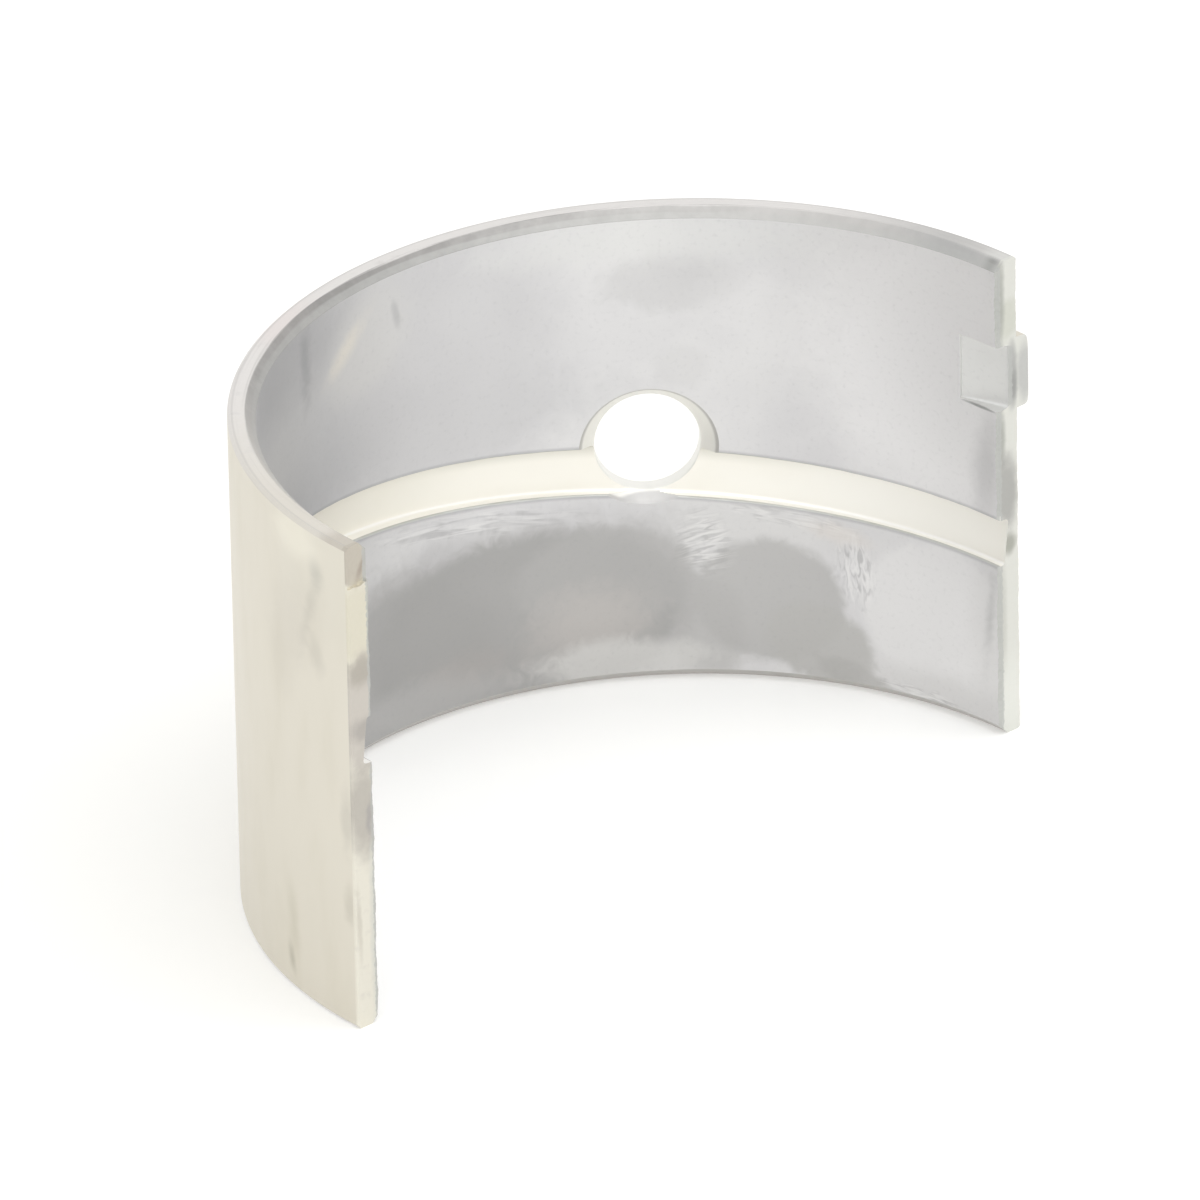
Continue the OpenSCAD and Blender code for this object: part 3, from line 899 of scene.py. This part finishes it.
def floor_material(colours):
    """Matt white card. A little glow where it is seen lifts it to white, and the shadow stays."""
    made = bpy.data.materials.new("white_card")
    made.use_nodes = True
    tree = made.node_tree
    tree.nodes.clear()
    card = node(tree, "ShaderNodeBsdfDiffuse", {"Color": colours.floor})
    glow = node(tree, MATH, (seen_rays(tree), FLOOR_GLOW), operation="MULTIPLY")
    glow = node(tree, "ShaderNodeEmission", {"Strength": glow})
    both = node(tree, "ShaderNodeAddShader", (card, glow))
    node(tree, "ShaderNodeOutputMaterial", {"Surface": both})
    return made


def soft_box(scene, name, place, size, power):
    """A round soft light that points at the shell."""
    lamp = bpy.data.lights.new(name, "AREA")
    lamp.shape, lamp.size, lamp.energy = "DISK", size, power
    light = bpy.data.objects.new(name, lamp)
    light.location = place
    light.rotation_euler = (-Vector(place)).to_track_quat("-Z", "Y").to_euler()
    scene.collection.objects.link(light)


def photo_camera(scene):
    """The camera at the photo's angle."""
    azimuth, elevation, roll = (math.radians(a) for a in (CAMERA_AZIMUTH, CAMERA_ELEVATION, CAMERA_ROLL))
    back = Vector((math.sin(azimuth) * math.cos(elevation), -math.cos(azimuth) * math.cos(elevation),
                   math.sin(elevation)))
    level = (-back).cross(Vector((0, 0, 1))).normalized()
    upright = level.cross(-back)
    right = level * math.cos(roll) + upright * math.sin(roll)
    up = upright * math.cos(roll) - level * math.sin(roll)
    aim = Vector(CAMERA_TARGET) + right * CAMERA_ASIDE + up * CAMERA_ABOVE
    lens = bpy.data.cameras.new("photo_camera")
    lens.lens, lens.sensor_width = CAMERA_LENS_MM, CAMERA_SENSOR_MM
    lens.clip_start, lens.clip_end = CAMERA_CLIP
    camera = bpy.data.objects.new("photo_camera", lens)
    camera.matrix_world = Matrix.LocRotScale(aim + back * CAMERA_DISTANCE,
                                             Matrix((right, up, back)).transposed().to_quaternion(), None)
    scene.collection.objects.link(camera)
    return camera


# Operators and panel

class SHELL_OT_half_shell(bpy.types.Operator):
    """Makes the half shell and gives it its metals"""

    bl_idname = "bearing.half_shell"
    bl_label = "Half shell"

    def execute(self, context):
        sizes, colours = context.scene.shell_sizes, context.scene.shell_colours
        metals = [lining_metal(colours, sizes), flash_metal(colours), groove_metal(colours, sizes),
                  rim_metal(colours, sizes), parting_metal(colours, sizes)]
        forms = {
            "Back breaker": edge_breaker("back_breaker", sizes, sizes.back_r, sizes.parting_back,
                                         inward=-1, uneven=0.45),
            "Bore breaker": edge_breaker("bore_breaker", sizes, sizes.bore_r, sizes.parting_chamfer,
                                         inward=1, uneven=0.4),
            "Lug": lug_form(sizes),
            "Pocket": pocket_form(sizes),
            "Nick": nick_form(sizes),
        }
        values = {name: getattr(sizes, size) for name, size in TREE_SIZES.items()}
        values.update({"Hole turn": HOLE_TURN, "Steps": sizes.steps, "Material": metals[LINING]})
        mesh = run_tree(shell_tree(), {**values, **forms})
        for form in forms.values():
            bpy.data.objects.remove(form)
        if len(mesh.polygons) < sizes.steps:
            raise RuntimeError("the half shell came out without its faces")
        shell = bpy.data.objects.new("half_shell", mesh)
        context.scene.collection.objects.link(shell)
        mesh.materials.clear()
        for metal in metals:
            mesh.materials.append(metal)
        sort_faces(mesh, sizes)
        # The flat parting faces stay flat. The rest is smooth up to its edges.
        mesh.shade_smooth()
        mesh.set_sharp_from_angle(angle=SHARP_ANGLE)
        smooth = [face.material_index != PARTING for face in mesh.polygons]
        mesh.polygons.foreach_set("use_smooth", smooth)
        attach(shell, "root")
        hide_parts(NODE)
        return {"FINISHED"}


class SHELL_OT_stage(bpy.types.Operator):
    """Makes the pale floor, the soft lights and the camera"""

    bl_idname = "bearing.stage"
    bl_label = "Studio"

    def execute(self, context):
        scene = context.scene
        corners = [(-1, -1), (1, -1), (1, 1), (-1, 1)]
        floor = mesh_object("studio_floor", [(x * FLOOR_HALF, y * FLOOR_HALF, LOW.z) for x, y in corners],
                            [[0, 1, 2, 3]])
        floor.data.materials.append(floor_material(scene.shell_colours))
        white_world(scene)
        for light in STUDIO_LIGHTS:
            soft_box(scene, *light)
        scene.camera = photo_camera(scene)
        scene.view_settings.view_transform = "Standard"
        return {"FINISHED"}


class SHELL_PT_panel(bpy.types.Panel):
    """Lists the operators, the sizes and the colours of the half shell"""

    bl_label = "Bearing shell"
    bl_idname = "SHELL_PT_panel"
    bl_space_type = "VIEW_3D"
    bl_region_type = "UI"
    bl_category = "Bearing shell"

    def draw(self, context):
        for operator in (SHELL_OT_half_shell, SHELL_OT_stage):
            self.layout.operator(operator.bl_idname)
        for group in (context.scene.shell_sizes, context.scene.shell_colours):
            for name in group.bl_rna.properties.keys():
                if name not in ("rna_type", "name"):
                    self.layout.prop(group, name)


CLASSES = (ShellSizes, ShellColours, SHELL_OT_half_shell, SHELL_OT_stage, SHELL_PT_panel)


def register():
    """Registers the classes and gives the scene its sizes and colours."""
    for kind in CLASSES:
        bpy.utils.register_class(kind)
    bpy.types.Scene.shell_sizes = PointerProperty(type=ShellSizes)
    bpy.types.Scene.shell_colours = PointerProperty(type=ShellColours)


def unregister():
    """Takes away what register added."""
    del bpy.types.Scene.shell_colours
    del bpy.types.Scene.shell_sizes
    for kind in reversed(CLASSES):
        bpy.utils.unregister_class(kind)


def main():
    register()
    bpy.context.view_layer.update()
    bpy.ops.bearing.half_shell()
    bpy.ops.bearing.stage()


if __name__ == "__main__":
    main()
